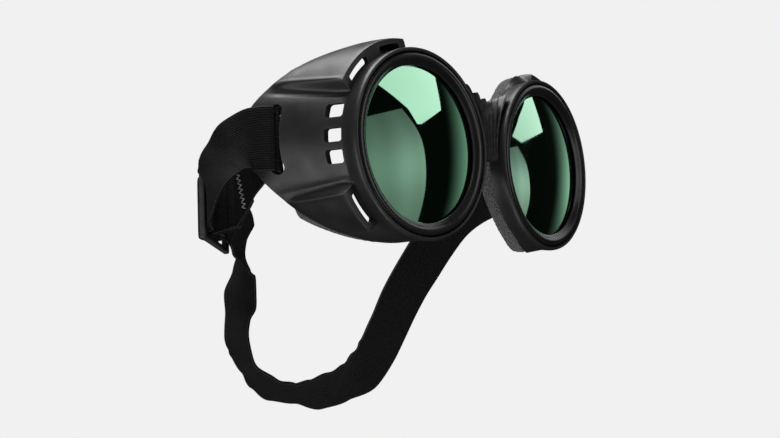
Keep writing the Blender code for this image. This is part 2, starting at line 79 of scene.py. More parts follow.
# ------------------------ layout shared with the CAD
CUP_SPACING = 66.9
WRAP = math.radians(4.2)
FRONT_TO_SEAT = 12.0
RIM_R = 28.7
NOSE_DEPTH = 7.3
REAR_OUTLINE = (
    (-165, 36.0), (-150, 33.6), (-120, 30.4), (-90, 28.3), (-60, 26.2), (-30, 25.0),
    (0, 24.9), (30, 25.6), (60, 28.0), (90, 32.0), (120, 33.4), (150, 37.0),
    (165, 38.8), (180, 38.4),
)
REAR_DEPTH = (10.5, -0.34, 0.0095)
FOAM_T = 5.2
FOAM_W = 3.6
FOAM_INSET = 0.4
FOAM_STRAP_GAP = 6.4
GAP = 0.3
BRIDGE_T = 1.0
BRIDGE_FOLD = 4.4
BRIDGE_FLUTES = 6
BRIDGE_LOW = -1.5
BRIDGE_HIGH = 17.0
BRIDGE_RISE = 4.5
BRIDGE_DEPTH = 2.4
STRAP_W = 19.0
STRAP_T = 1.1
LAYER = 1.2
BUCKLE_AT = (-65.9, 56.0, -15.5)
BUCKLE_ALONG = (0.88, 0.44, -0.17)
BUCKLE_UP = (-0.15, 0.0, 1.0)

DOWN = (0.0, 0.0, -1.0)
UP = (0.0, 0.0, 1.0)


# ------------------------ small helpers
def lerp(a, b, t):
    return a + (b - a) * t


def smooth(t):
    t = min(1.0, max(0.0, t))
    return t * t * (3.0 - 2.0 * t)


def new_object(name, verts, faces, mat, uvs=None, sharp=60.0):
    """Mesh from points in metres; uvs is one (u, v) for each vertex."""
    mesh = bpy.data.meshes.new(name)
    mesh.from_pydata(verts, [], faces)
    if uvs:
        layer = mesh.uv_layers.new(name="run")
        for loop in mesh.loops:
            layer.data[loop.index].uv = uvs[loop.vertex_index]
    bm = bmesh.new()
    bm.from_mesh(mesh)
    bmesh.ops.recalc_face_normals(bm, faces=bm.faces)
    bm.to_mesh(mesh)
    bm.free()
    mesh.polygons.foreach_set("use_smooth", [True] * len(mesh.polygons))
    mesh.set_sharp_from_angle(angle=math.radians(sharp))
    mesh.materials.append(mat)
    obj = bpy.data.objects.new(name, mesh)
    bpy.context.scene.collection.objects.link(obj)
    return obj


# ------------------------ materials
class Finish:
    """One Principled material and short ways to add its procedural detail."""

    def __init__(self, name, **sockets):
        self.mat = bpy.data.materials.new(name)
        self.mat.use_nodes = True
        self.tree = self.mat.node_tree
        self.shader = self.tree.nodes["Principled BSDF"]
        for key, value in sockets.items():
            self.shader.inputs[key.replace("_", " ")].default_value = value
        self.coord = self.tree.nodes.new("ShaderNodeTexCoord").outputs["Object"]

    def add(self, kind, inputs=(), **settings):
        node = self.tree.nodes.new("ShaderNode" + kind)
        for key, value in settings.items():
            setattr(node, key, value)
        for key, value in dict(inputs).items():
            self.feed(node.inputs[key], value)
        return node

    def feed(self, socket, value):
        if isinstance(value, bpy.types.NodeSocket):
            self.tree.links.new(value, socket)
        else:
            socket.default_value = value

    def noise(self, scale, detail=4.0, rough=0.55):
        inputs = {"Vector": self.coord, "Scale": scale, "Detail": detail, "Roughness": rough}
        return self.add("TexNoise", inputs).outputs[0]

    def cells(self, scale):
        inputs = {"Vector": self.coord, "Scale": scale}
        return self.add("TexVoronoi", inputs, feature="F1").outputs["Distance"]

    def math(self, operation, a, b=0.0):
        node = self.add("Math", operation=operation)
        self.feed(node.inputs[0], a)
        self.feed(node.inputs[1], b)
        return node.outputs[0]

    def remap(self, value, low, high, out_low, out_high):
        inputs = {
            "Value": value, "From Min": low, "From Max": high,
            "To Min": out_low, "To Max": out_high,
        }
        return self.add("MapRange", inputs).outputs[0]

    def ramp(self, value, *stops):
        node = self.add("ValToRGB", {"Fac": value})
        elements = node.color_ramp.elements
        while len(elements) < len(stops):
            elements.new(0.5)
        for element, (at, grey_or_color) in zip(elements, stops):
            color = grey_or_color
            if isinstance(color, float):
                color = (color, color, color)
            element.position = at
            element.color = (*color, 1.0)
        return node.outputs[0]

    def color(self, socket):
        self.feed(self.shader.inputs["Base Color"], socket)

    def roughness(self, socket):
        self.feed(self.shader.inputs["Roughness"], socket)

    def bump(self, *layers):
        """Each layer is (height socket, distance in metres, strength)."""
        normal = None
        for height, distance, strength in layers:
            inputs = {"Height": height, "Distance": distance, "Strength": strength}
            if normal is not None:
                inputs["Normal"] = normal
            normal = self.add("Bump", inputs).outputs[0]
        self.feed(self.shader.inputs["Normal"], normal)


def moulded(name, dark, light, rough_low, rough_high, grain=900.0, worn=0.06):
    """Moulded black plastic or rubber: fine grain, soft mottling and edges rubbed paler."""
    f = Finish(name)
    mottle = f.noise(55.0, 5.0)
    fine = f.noise(grain, 3.0, 0.7)
    edge = f.add("NewGeometry").outputs["Pointiness"]
    rub = f.math("MULTIPLY", f.remap(edge, 0.52, 0.60, 0.0, 1.0), f.noise(260.0, 6.0, 0.7))
    base = f.ramp(mottle, (0.3, dark), (0.7, light))
    mix = f.add("Mix", data_type="RGBA")
    f.feed(mix.inputs[0], rub)
    f.feed(mix.inputs[6], base)
    mix.inputs[7].default_value = (worn, worn, worn, 1.0)
    f.color(mix.outputs[2])
    patches = f.remap(f.noise(120.0, 4.0), 0.3, 0.7, rough_low, rough_high)
    f.roughness(patches)
    f.bump((f.noise(30.0, 2.0), 0.0006, 0.05), (fine, 0.0001, 0.22))
    return f.mat


def glass_finish():
    """Deep green welding filter with a polished face and a few faint marks."""
    f = Finish("filter_green_glass_polished", IOR=1.55, Specular_Tint=(0.72, 1.0, 0.82, 1.0))
    f.color(f.ramp(f.noise(18.0, 2.0), (0.3, (0.0008, 0.004, 0.0016)), (0.7, (0.0012, 0.006, 0.0026))))
    smear = f.noise(70.0, 6.0, 0.6)
    f.roughness(f.remap(smear, 0.45, 0.8, 0.012, 0.07))
    f.bump((f.noise(40.0, 1.0), 0.00003, 0.05))
    return f.mat


def foam_finish():
    """Open-cell charcoal foam, with painted shade in its pores."""
    f = Finish("foam_charcoal_open_cell", Sheen_Weight=0.15)
    cells = f.cells(1900.0)
    big = f.cells(850.0)
    depth = f.math("ADD", cells, f.math("MULTIPLY", big, 0.6))
    # Colour darkens with the pore depth that also drives the bump: painted shade in the pores
    f.color(f.ramp(depth, (0.12, 0.004), (0.42, 0.034), (0.8, 0.12)))
    f.roughness(f.remap(f.noise(300.0), 0.3, 0.7, 0.85, 1.0))
    f.bump((depth, 0.0009, 1.0))
    return f.mat


def bridge_finish():
    """Black rubber with fine pale dust."""
    f = Finish("bridge_rubber_ribbed")
    dust = f.noise(420.0, 6.0, 0.75)
    f.color(f.ramp(dust, (0.35, 0.02), (0.58, 0.05), (0.75, 0.16)))
    f.roughness(f.remap(f.noise(150.0), 0.3, 0.7, 0.32, 0.55))
    f.bump((f.noise(90.0, 3.0), 0.0006, 0.2), (f.noise(1400.0, 2.0), 0.0001, 0.4))
    return f.mat


def elastic_finish(name, ribs=27.0, rows=34.0):
    """Knitted elastic: lengthwise ribs crossed by fine rows, from the strip's own UV. Its colour carries
    painted shade in the grooves and painted light on the crests, and is paler along both edges.
    """
    f = Finish(name, Sheen_Weight=0.02, Sheen_Roughness=0.5, Specular_IOR_Level=0.12)
    uv = f.add("UVMap", uv_map="run").outputs[0]
    parts = f.add("SeparateXYZ", {"Vector": uv})
    across, along = parts.outputs[0], parts.outputs[1]
    wobble = f.math("MULTIPLY", f.noise(160.0, 2.0), 0.35)
    rib_angle = f.math("ADD", f.math("MULTIPLY", across, ribs * 2 * math.pi), wobble)
    rib = f.math("ABSOLUTE", f.math("SINE", f.math("MULTIPLY", rib_angle, 0.5)))
    row_shift = f.math("MULTIPLY", f.math("FLOOR", f.math("MULTIPLY", across, ribs)), 2.4)
    row_angle = f.math("ADD", f.math("MULTIPLY", along, rows * 2 * math.pi), row_shift)
    row = f.math("ABSOLUTE", f.math("SINE", f.math("MULTIPLY", row_angle, 0.5)))
    height = f.math("ADD", f.math("MULTIPLY", rib, 0.82), f.math("MULTIPLY", row, 0.18))
    fuzz = f.noise(2600.0, 3.0, 0.7)
    # Painted shade and light: the colour follows the rib and row height, darker in the grooves and lighter
    # on the crests
    lit = f.math("MULTIPLY", height, f.remap(fuzz, 0.3, 0.7, 0.8, 1.15))
    # Colour paler in a thin band along both edges of the strip
    edge = f.math("ABSOLUTE", f.math("SUBTRACT", across, 0.5))
    pale_edge_band = f.remap(edge, 0.478, 0.49, 0.0, 1.0)
    shade = f.math("ADD", f.math("MULTIPLY", lit, 0.7), f.math("MULTIPLY", pale_edge_band, 0.3))
    f.color(f.ramp(shade, (0.2, 0.0002), (0.46, 0.0015), (0.68, 0.013), (1.0, 0.05)))
    f.roughness(f.remap(fuzz, 0.3, 0.7, 0.62, 0.85))
    f.bump((height, 0.00022, 0.8), (fuzz, 0.00008, 0.5))
    return f.mat


def thread_finish():
    """Pale grey sewing thread with the twist of its plies, and painted shade in the grooves between them.
    """
    f = Finish("thread_grey_twisted", Sheen_Weight=0.2)
    wave = f.add("TexWave", {
        "Vector": f.coord, "Scale": 900.0, "Distortion": 2.0, "Detail": 1.0,
    }, bands_direction="DIAGONAL")
    # Colour follows the twist's bump: painted shade in the grooves between the plies, paler on their
    # crests
    f.color(f.ramp(wave.outputs["Fac"], (0.1, (0.16, 0.16, 0.155)), (0.8, (0.42, 0.42, 0.40))))
    f.roughness(f.remap(f.noise(900.0), 0.3, 0.7, 0.6, 0.85))
    f.bump((wave.outputs["Fac"], 0.0001, 0.6))
    return f.mat


CUP = moulded("cup_black_pvc_satin", 0.010, 0.020, 0.33, 0.50)
RING = moulded("ring_black_nylon_satin", 0.006, 0.012, 0.22, 0.34, 1400.0, 0.05)
SEAL = moulded("seal_rubber_matt", 0.010, 0.018, 0.55, 0.75)
BUCKLE = moulded("buckle_black_nylon_grained", 0.008, 0.016, 0.26, 0.42, 1100.0, 0.10)
GLASS = glass_finish()
FOAM = foam_finish()
BRIDGE = bridge_finish()
ELASTIC = elastic_finish("strap_elastic_ribbed")
THREAD = thread_finish()


# ------------------------ cup frame
def cup_point(side, inward, up, depth):
    x = CUP_SPACING / 2 - inward * math.cos(WRAP) - depth * math.sin(WRAP)
    y = depth * math.cos(WRAP) - inward * math.sin(WRAP) - FRONT_TO_SEAT
    return Vector((side * x, y, up))


def polar_point(side, theta, radius, depth):
    return cup_point(side, radius * math.cos(theta), radius * math.sin(theta), depth)


def rear_radius(theta):
    """Smooth closed curve through REAR_OUTLINE."""
    deg = math.degrees(theta)
    table = list(REAR_OUTLINE)
    low = [(a - 360, r) for a, r in table[-2:]]
    high = [(a + 360, r) for a, r in table[:2]]
    table = low + table + high
    for i in range(1, len(table) - 2):
        (a0, r0), (a1, r1), (a2, r2), (a3, r3) = table[i - 1:i + 3]
        if a1 <= deg <= a2:
            t = (deg - a1) / (a2 - a1)
            m1 = (r2 - r0) / (a2 - a0) * (a2 - a1)
            m2 = (r3 - r1) / (a3 - a1) * (a2 - a1)
            return (
                (2 * t ** 3 - 3 * t ** 2 + 1) * r1 + (t ** 3 - 2 * t ** 2 + t) * m1
                + (3 * t ** 2 - 2 * t ** 3) * r2 + (t ** 3 - t ** 2) * m2
            )
    return table[1][1]


def rear_depth(theta):
    inward = rear_radius(theta) * math.cos(theta)
    base, slope, curve = REAR_DEPTH
    return max(NOSE_DEPTH, base + slope * inward + curve * inward ** 2)


# ------------------------ eye cups
BORE_R = 27.5
SEAT_DEPTH = 5.1
SEAT_T = 1.0
SEAT_R = 23.3
WALL = 1.8
RIM_STEP = 0.4
SHOULDER = 5.6
HOOD_R = 32.3
HOODS = ((92.0, 151.0), (-152.0, -124.0))
HOOD_EDGE = 1.5
HOOD_WALL = 1.6
REAR_FLANGE = 2.6
# Groove and bead beside a hood: size in mm, then place and spread in degrees from its edge
GROOVE = 0.5
GROOVE_AT = 3.4
GROOVE_SPREAD = 1.7
BEAD = 0.22
BEAD_AT = -2.2
BEAD_SPREAD = 1.2
SHOULDER_VENTS = ((98.0, 115.0), (127.0, 146.0), (-147.5, -127.5))
VENT_INNER_R = 28.5
VENT_OUTER_R = 30.7
VENT_AHEAD = 0.9
VENT_BEHIND = 2.6
SIDE_VENT_Z = (7.9, 0.8, -5.3)
SIDE_VENT_H = 4.0
SIDE_VENT_FRONT = 6.3
SIDE_VENT_L = 5.2
SIDE_VENT_CORNER = 0.8
SLOT_Z = 1.7
SLOT_H = 20.6
SLOT_FRONT = 25.6
SLOT_W = 3.8
SLOT_RELIEF = 0.5
SIDE_CUT_OUTER = -45.0
SIDE_CUT_INNER = -24.0
CUP_SHARP = 38.0


def hood_amount(theta):
    """1 on a hood, 0 off it, with a short ramp at each edge."""
    deg = math.degrees(theta)
    amount = 0.0
    for start, end in HOODS:
        rise = smooth((deg - start + HOOD_EDGE) / (2 * HOOD_EDGE))
        fall = smooth((end - deg + HOOD_EDGE) / (2 * HOOD_EDGE))
        amount = max(amount, rise * fall)
    return amount


def ridge_relief(theta):
    """Bead along the edge of each hood beside the temple panel and a groove below it."""
    deg = math.degrees(theta)
    relief = 0.0
    for edge, away in ((HOODS[0][1], 1.0), (HOODS[1][0], -1.0)):
        off = (deg - edge) * away
        relief -= GROOVE * math.exp(-((off - GROOVE_AT) / GROOVE_SPREAD) ** 2)
        relief += BEAD * math.exp(-((off - BEAD_AT) / BEAD_SPREAD) ** 2)
    return relief


def outer_radius(theta, depth):
    t = (depth - SHOULDER) / (rear_depth(theta) - SHOULDER)
    t = min(1.0, max(0.0, t))
    plain = lerp(RIM_R - RIM_STEP, rear_radius(theta), t)
    rise = (HOOD_R - RIM_R + RIM_STEP) * (1.0 - t) ** 0.8
    fade = smooth(t / 0.06) * smooth((1.0 - t) / 0.25)
    return plain + rise * hood_amount(theta) + ridge_relief(theta) * fade


def cup_angles():
    """Angles of the sections round the cup, closer together at the edges of the hoods."""
    extra = []
    for start, end in HOODS:
        for edge in (start, end):
            extra += [edge + k * 0.5 for k in range(-12, 13)]
    plain = [a / 2 for a in range(-360, 360, 5) if min(abs(a / 2 - e) for e in extra) > 1.2]
    return [math.radians(a) for a in sorted(plain + extra)]


def cup_profile(theta):
    """Closed section of the cup wall as (radius, depth), from the bore round the outside."""
    rear = rear_depth(theta)
    hood = hood_amount(theta)
    front_r = outer_radius(theta, SHOULDER)
    section = [
        (BORE_R, 0.75), (BORE_R + 0.05, 0.4), (BORE_R + 0.2, 0.15), (BORE_R + 0.45, 0.05),
        (RIM_R - 0.45, 0.1), (RIM_R - 0.18, 0.35), (RIM_R - 0.03, 0.8), (RIM_R, 1.5),
        (RIM_R - 0.1, 2.6), (RIM_R - 0.3, 3.8), (RIM_R - RIM_STEP, SHOULDER - 0.5),
    ]
    for share, depth in ((0.0, -0.2), (0.3, -0.12), (0.75, -0.1), (0.9, 0.0), (0.97, 0.14), (1.0, 0.4)):
        section.append((lerp(RIM_R - RIM_STEP, front_r, share * hood), SHOULDER + depth))
    for t in (0.07, 0.14, 0.22, 0.3, 0.4, 0.5, 0.6, 0.7, 0.8, 0.88, 0.95, 0.99):
        depth = lerp(SHOULDER + 0.4, rear, t)
        section.append((outer_radius(theta, depth), depth))
    section.append((outer_radius(theta, rear) - 0.25, rear))
    rear_inner = max(SEAT_R + 0.2, rear_radius(theta) - REAR_FLANGE)
    temple = smooth((abs(math.degrees(theta)) - 154.0) / 8.0)
    rear_inner = lerp(rear_inner, rear_radius(theta) - WALL, temple)
    section.append((rear_inner, rear))
    inside_front = min(SHOULDER + HOOD_WALL, rear - 0.35)
    for t in (0.86, 0.6, 0.3, 0.0):
        depth = lerp(inside_front, rear - 0.2, t)
        section.append((max(SEAT_R + 0.1, outer_radius(theta, depth) - WALL), depth))
    section += [
        (SEAT_R, SEAT_DEPTH + SEAT_T), (SEAT_R, SEAT_DEPTH), (BORE_R, SEAT_DEPTH),
    ]
    return section


def prism(low, high):
    """Closed solid between two outlines of the same number of points."""
    n = len(low)
    faces = [tuple(range(n)), tuple(range(2 * n - 1, n - 1, -1))]
    faces += [(j, (j + 1) % n, n + (j + 1) % n, n + j) for j in range(n)]
    return [p * MM for p in low + high], faces


def vent_cutter(side, start, end):
    """Arc-shaped bar with rounded ends through the front step of a hood."""
    mid = (VENT_INNER_R + VENT_OUTER_R) / 2
    half = (VENT_OUTER_R - VENT_INNER_R) / 2
    turn = math.degrees(half / mid)
    outline = []
    for end_deg, sign in ((end, 1), (start, -1)):
        for k in range(7):
            a = math.radians(90 - 30 * k)
            outline.append((
                end_deg - sign * turn * 0.6 + sign * turn * 0.6 * math.cos(a),
                mid + sign * half * math.sin(a),
            ))
        if sign > 0:
            outline += [(lerp(end - turn, start + turn, k / 9), VENT_INNER_R) for k in range(1, 9)]
        else:
            outline += [(lerp(start + turn, end - turn, k / 9), VENT_OUTER_R) for k in range(1, 9)]
    low = [polar_point(side, math.radians(a), r, SHOULDER - VENT_AHEAD) for a, r in outline]
    high = [polar_point(side, math.radians(a), r, SHOULDER + VENT_BEHIND) for a, r in outline]
    return prism(low, high)


def rounded_rect(z, depth, height, length, corner):
    """Outline of a rectangle with round corners, as (up, depth) points."""
    points = []
    for cz, cd, base in ((1, 1, 0), (-1, 1, 90), (-1, -1, 180), (1, -1, 270)):
        for step in range(0, 91, 15):
            a = math.radians(base + step)
            points.append((
                z + cz * (height / 2 - corner) + corner * math.cos(a),
                depth + cd * (length / 2 - corner) + corner * math.sin(a),
            ))
    return points


def slot_outline():
    """Strap slot as (up, depth) points, with a wider round relief at each end."""
    relief = SLOT_W / 2 + SLOT_RELIEF
    centre = SLOT_FRONT + SLOT_W / 2
    points = []
    for end in (1, -1):
        for step in range(-120, 121, 15):
            a = math.radians(step)
            points.append((
                SLOT_Z + end * (SLOT_H / 2 - relief + relief * math.cos(a)),
                centre + end * relief * math.sin(a),
            ))
    return points


def side_cutter(side, outline):
    low = [cup_point(side, SIDE_CUT_OUTER, z, d) for z, d in outline]
    high = [cup_point(side, SIDE_CUT_INNER, z, d) for z, d in outline]
    return prism(low, high)


def build_cup(name, side):
    """Cup wall from its turned sections, with the vents and the strap slot cut out."""
    angles = cup_angles()
    verts = []
    for theta in angles:
        verts += [polar_point(side, theta, r, d) * MM for r, d in cup_profile(theta)]
    size = len(verts) // len(angles)
    faces = []
    for i in range(len(angles)):
        a, b = i * size, (i + 1) % len(angles) * size
        faces += [(a + j, a + (j + 1) % size, b + (j + 1) % size, b + j) for j in range(size)]
    cup = new_object(f"cup_{name}_moulded", verts, faces, CUP)
    parts = [vent_cutter(side, start, end) for start, end in SHOULDER_VENTS]
    for z in SIDE_VENT_Z:
        depth = SIDE_VENT_FRONT + SIDE_VENT_L / 2
        outline = rounded_rect(z, depth, SIDE_VENT_H, SIDE_VENT_L, SIDE_VENT_CORNER)
        parts.append(side_cutter(side, outline))
    parts.append(side_cutter(side, slot_outline()))
    tool_verts, tool_faces = [], []
    for points, quads in parts:
        base = len(tool_verts)
        tool_verts += points
        tool_faces += [tuple(base + i for i in face) for face in quads]
    tool = new_object("opening_cutter", tool_verts, tool_faces, CUP)
    cut = cup.modifiers.new("openings", "BOOLEAN")
    cut.operation = "DIFFERENCE"
    cut.solver = "EXACT"
    cut.object = tool
    graph = bpy.context.evaluated_depsgraph_get()
    mesh = bpy.data.meshes.new_from_object(cup.evaluated_get(graph))
    cup.modifiers.clear()
    cup.data = mesh
    bpy.data.objects.remove(tool, do_unlink=True)
    mesh.polygons.foreach_set("use_smooth", [True] * len(mesh.polygons))
    mesh.set_sharp_from_angle(angle=math.radians(CUP_SHARP))
    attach(cup, f"{name}_eyepiece")
    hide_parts(f"eye_cup_{name}")


# ------------------------ lens and ring
LENS_R = 25.0
LENS_DOME_R = 23.2
LENS_CURVE = 150.0
LENS_FRONT = 2.2
LENS_T = 1.8
LENS_CENTRE_R = 0.3
LENS_CIRCLES = 30
LENS_BEVEL = 0.2
RING_SECTION = (
    (27.2, 4.8), (27.2, 0.95), (27.12, 0.62), (26.9, 0.3), (26.5, 0.08), (26.0, 0.0),
    (25.5, 0.06), (25.0, 0.28), (24.6, 0.62), (24.2, 1.0), (23.8, 1.22), (23.5, 1.4),
    (23.5, 1.8), (25.3, 1.8), (25.3, 4.8),
)


def revolve(name, side, section, mat, steps, sharp, closed=True):
    """Turn a section of (radius, depth) about the lens axis; an open one gets end points."""
    size = len(section)
    verts, faces = [], []
    for i in range(steps):
        theta = 2 * math.pi * i / steps
        verts += [polar_point(side, theta, r, d) * MM for r, d in section]
    for i in range(steps):
        a, b = i * size, (i + 1) % steps * size
        for j in range(size if closed else size - 1):
            k = (j + 1) % size
            faces.append((a + j, a + k, b + k, b + j))
    if not closed:
        for j in (0, size - 1):
            faces.append(tuple(i * size + j for i in range(steps)))
    return new_object(name, verts, faces, mat, sharp=sharp)


def build_ring(name, side):
    ring = revolve(f"ring_{name}_rounded", side, RING_SECTION, RING, 144, 40.0)
    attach(ring, f"{name}_ring")
    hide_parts(f"lens_ring_{name}")


def build_lens(name, side):
    """Polished filter glass with a true dome, so it mirrors cleanly."""
    def dome(radius):
        return (LENS_DOME_R ** 2 - radius ** 2) / (2 * LENS_CURVE)

    span = LENS_DOME_R - LENS_CENTRE_R
    radii = [LENS_CENTRE_R + span * i / LENS_CIRCLES for i in range(LENS_CIRCLES + 1)]
    back = LENS_FRONT + LENS_T
    section = [(r, LENS_FRONT - dome(r)) for r in radii]
    section += [(LENS_R - LENS_BEVEL, LENS_FRONT), (LENS_R, LENS_FRONT + LENS_BEVEL)]
    section += [(LENS_R, back - LENS_BEVEL), (LENS_R - LENS_BEVEL, back)]
    section += [(r, back - dome(r)) for r in reversed(radii)]
    lens = revolve(f"filter_{name}_domed", side, section, GLASS, 128, 5.0, closed=False)
    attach(lens, f"{name}_eyepiece")
    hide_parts(f"filter_lens_{name}")
    return lens


# ------------------------ foam pads
FOAM_STEPS = 220
FOAM_SWELL = 0.05
FOAM_PORE = 0.16
FOAM_TEMPLE_FROM = 138.0
FOAM_TEMPLE_EASE = 14.0


def foam_section():
    """Soft rounded section as (across 0..1 from the outside in, back 0..1)."""
    corners = (
        (0.06, 0.0), (0.0, 0.22), (0.05, 0.62), (0.20, 0.95), (0.40, 1.0),
        (0.62, 1.0), (0.84, 0.93), (0.97, 0.70), (1.0, 0.35), (0.97, 0.0),
    )
    out = []
    for i, (a, b) in enumerate(corners[:-1]):
        c, d = corners[i + 1]
        for k in range(3):
            t = k / 3
            out.append((lerp(a, c, t), lerp(b, d, t)))
    out.append(corners[-1])
    out += [(0.75, 0.0), (0.5, 0.0), (0.28, 0.0)]
    return out


def build_foam(name, side):
    """Foam ring on the cup's rear edge, set further in at the temple for the strap."""
    section = foam_section()
    size = len(section)
    verts = []
    for i in range(FOAM_STEPS):
        theta = 2 * math.pi * i / FOAM_STEPS - math.pi
        temple = smooth((abs(math.degrees(theta)) - FOAM_TEMPLE_FROM) / FOAM_TEMPLE_EASE)
        outer = rear_radius(theta) - lerp(FOAM_INSET, FOAM_STRAP_GAP, temple)
        front = rear_depth(theta) + GAP
        around = Vector((3.0 * math.cos(theta), 3.0 * math.sin(theta), side))
        swell = 1.0 + FOAM_SWELL * noise.noise(around)
        centre = polar_point(side, theta, outer - FOAM_W / 2, front + FOAM_T / 2)
        for across, back in section:
            depth = front + back * FOAM_T * (swell if back > 0.5 else 1.0)
            p = polar_point(side, theta, outer - across * FOAM_W, depth)
            if back > 0.02:
                away = (p - centre).normalized()
                cell = noise.noise(p * 1.5)
                p = p + away * cell * FOAM_PORE
            verts.append(p * MM)
    faces = []
    for i in range(FOAM_STEPS):
        a = i * size
        b = (i + 1) % FOAM_STEPS * size
        for j in range(size):
            k = (j + 1) % size
            faces.append((a + j, a + k, b + k, b + j))
    pad = new_object(f"foam_{name}_open_cell", verts, faces, FOAM, sharp=80.0)
    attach(pad, f"{name}_eyepiece")
    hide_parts(f"foam_pad_{name}")


# ------------------------ nose bridge
FLUTE_STEPS = 14
BRIDGE_ROWS = 20
BRIDGE_TOP_WAVE = 0.5
BRIDGE_TUCK = 0.35
BRIDGE_TUCK_SHARE = 0.06
BRIDGE_END_GAP = 0.05
# How far the wrap brings the inner sides of the rims forward
RIM_FORWARD = 2.1


def bridge_half_width(z, y):
    """Half the way between the two rims at a height and depth."""
    reach = math.sqrt((RIM_R + GAP) ** 2 - z ** 2)
    return CUP_SPACING / 2 - reach * math.cos(WRAP) - (y + RIM_FORWARD) * math.sin(WRAP)


def pleat(phase):
    """Fold profile from -1 to 1 with narrow crests and slightly wider troughs."""
    wave = 1.0 - abs(2.0 * phase - 1.0) * 2.0
    return math.copysign(abs(math.sin(wave * math.pi / 2)) ** 0.75, wave)


def build_bridge():
    """Pleated band whose ends follow the round rims, thinner at its upper and lower edges."""
    columns = FLUTE_STEPS * BRIDGE_FLUTES
    front, back = [], []
    for i in range(columns + 1):
        across = 2.0 * i / columns - 1.0
        fold = pleat((i % FLUTE_STEPS) / FLUTE_STEPS)
        top = BRIDGE_HIGH + BRIDGE_RISE * abs(across) ** 1.5
        top += BRIDGE_TOP_WAVE * fold
        for j in range(BRIDGE_ROWS + 1):
            share = j / BRIDGE_ROWS
            z = lerp(BRIDGE_LOW, top, share)
            inset = smooth(share / BRIDGE_TUCK_SHARE) * smooth((1.0 - share) / BRIDGE_TUCK_SHARE)
            tuck = BRIDGE_TUCK * (inset - 1.0)
            mid = BRIDGE_DEPTH - BRIDGE_FOLD * fold / 2
            x = across * (bridge_half_width(z, BRIDGE_DEPTH) - BRIDGE_END_GAP)
            y = mid - FRONT_TO_SEAT
            front.append(Vector((x, y - BRIDGE_T / 2 - tuck, z)) * MM)
            back.append(Vector((x, y + BRIDGE_T / 2 + tuck, z)) * MM)
    verts = front + back
    n = len(front)
    size = BRIDGE_ROWS + 1
    faces = []
    for i in range(columns):
        for j in range(BRIDGE_ROWS):
            a = i * size + j
            faces.append((a, a + size, a + size + 1, a + 1))
            faces.append((n + a, n + a + 1, n + a + size + 1, n + a + size))
        for j in (0, BRIDGE_ROWS):
            a = i * size + j
            faces.append((a, a + size, n + a + size, n + a))
    for i in (0, columns):
        for j in range(BRIDGE_ROWS):
            a = i * size + j
            faces.append((a, a + 1, n + a + 1, n + a))
    bellows = new_object("bridge_pleated_rubber", verts, faces, BRIDGE, sharp=50.0)
    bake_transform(bellows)
    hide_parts("nose_bridge")


# ------------------------ strap
STRAP_STEPS = 8
SHEARED_STATIONS = 5
EDGE_POWER = 18


def spline(stations, steps):
    """Catmull-Rom curve through (point, width direction) stations."""
    points = [Vector(p) for p, _ in stations]
    widths = [Vector(w).normalized() for _, w in stations]
    out = []
    for i in range(len(points) - 1):
        p0 = points[max(i - 1, 0)]
        p1, p2 = points[i], points[i + 1]
        p3 = points[min(i + 2, len(points) - 1)]
        count = steps if i < len(points) - 2 else steps + 1
        for k in range(count):
            t = k / steps
            pos = 0.5 * (
                2 * p1 + (p2 - p0) * t + (2 * p0 - 5 * p1 + 4 * p2 - p3) * t ** 2
                + (3 * p1 - p0 - 3 * p2 + p3) * t ** 3
            )
            out.append((pos, widths[i].lerp(widths[i + 1], smooth(t)).normalized()))
    return out


def ribbon_frames(stations, square=1.0, square_end=None):
    """Centre, width direction and outward normal along the curve.

    At square 1 the width is square to the run; below 1 it keeps some of the stations' slant.
    From SHEARED_STATIONS on, square eases into square_end over as many stations again.
    """
    line = spline(stations, STRAP_STEPS)
    sheared = SHEARED_STATIONS * STRAP_STEPS
    frames = []
    for i, (pos, width) in enumerate(line):
        ahead = line[min(i + 1, len(line) - 1)][0] - line[max(i - 1, 0)][0]
        ahead.normalize()
        upright = square
        if square_end is not None:
            upright = lerp(square, square_end, smooth((i - sheared) / sheared))
        width = (width - ahead * width.dot(ahead) * upright).normalized()
        frames.append((pos, width, ahead.cross(width).normalized()))
    return frames


EDGE_Q = (-1.0, -0.995, -0.975, -0.94, -0.90)
INNER_Q = tuple(-0.85 + 1.7 * i / 22 for i in range(23))
ACROSS = EDGE_Q + INNER_Q + tuple(-q for q in reversed(EDGE_Q))


def band_mesh(frames, lift=0.0):
    """Vertices, faces and uvs of a thin band with rounded edges along the frames."""
    half = STRAP_T / 2
    top = [(q, half * (1.0 - abs(q) ** EDGE_POWER) ** 0.5) for q in ACROSS]
    section = top + [(q, -h) for q, h in reversed(top[1:-1])]
    size = len(section)
    verts, uvs, faces = [], [], []
    run = 0.0
    for i, (pos, wide, normal) in enumerate(frames):
        if i:
            run += (pos - frames[i - 1][0]).length
        base = Vector((pos.x, pos.y - FRONT_TO_SEAT, pos.z)) + normal * lift
        for q, h in section:
            verts.append((base + wide * (q * STRAP_W / 2) + normal * h) * MM)
            uvs.append(((q + 1) / 2, run / STRAP_W))
    for i in range(len(frames) - 1):
        a, b = i * size, (i + 1) * size
        for j in range(size):
            k = (j + 1) % size
            faces.append((a + j, a + k, b + k, b + j))
    faces.append(tuple(range(size)))
    faces.append(tuple((len(frames) - 1) * size + j for j in range(size)))
    return verts, faces, uvs


def band(name, parts):
    """One object from several band meshes."""
    verts, faces, uvs = [], [], []
    for v, f, u in parts:
        base = len(verts)
        verts += v
        uvs += u
        faces += [tuple(base + i for i in face) for face in f]
    return new_object(name, verts, faces, ELASTIC, uvs)


def buckle_axes():
    """Unit vectors along the strap, across it and out of the buckle's face."""
    along = Vector(BUCKLE_ALONG).normalized()
    up = Vector(BUCKLE_UP)
    up = (up - along * up.dot(along)).normalized()
    return along, up, up.cross(along)


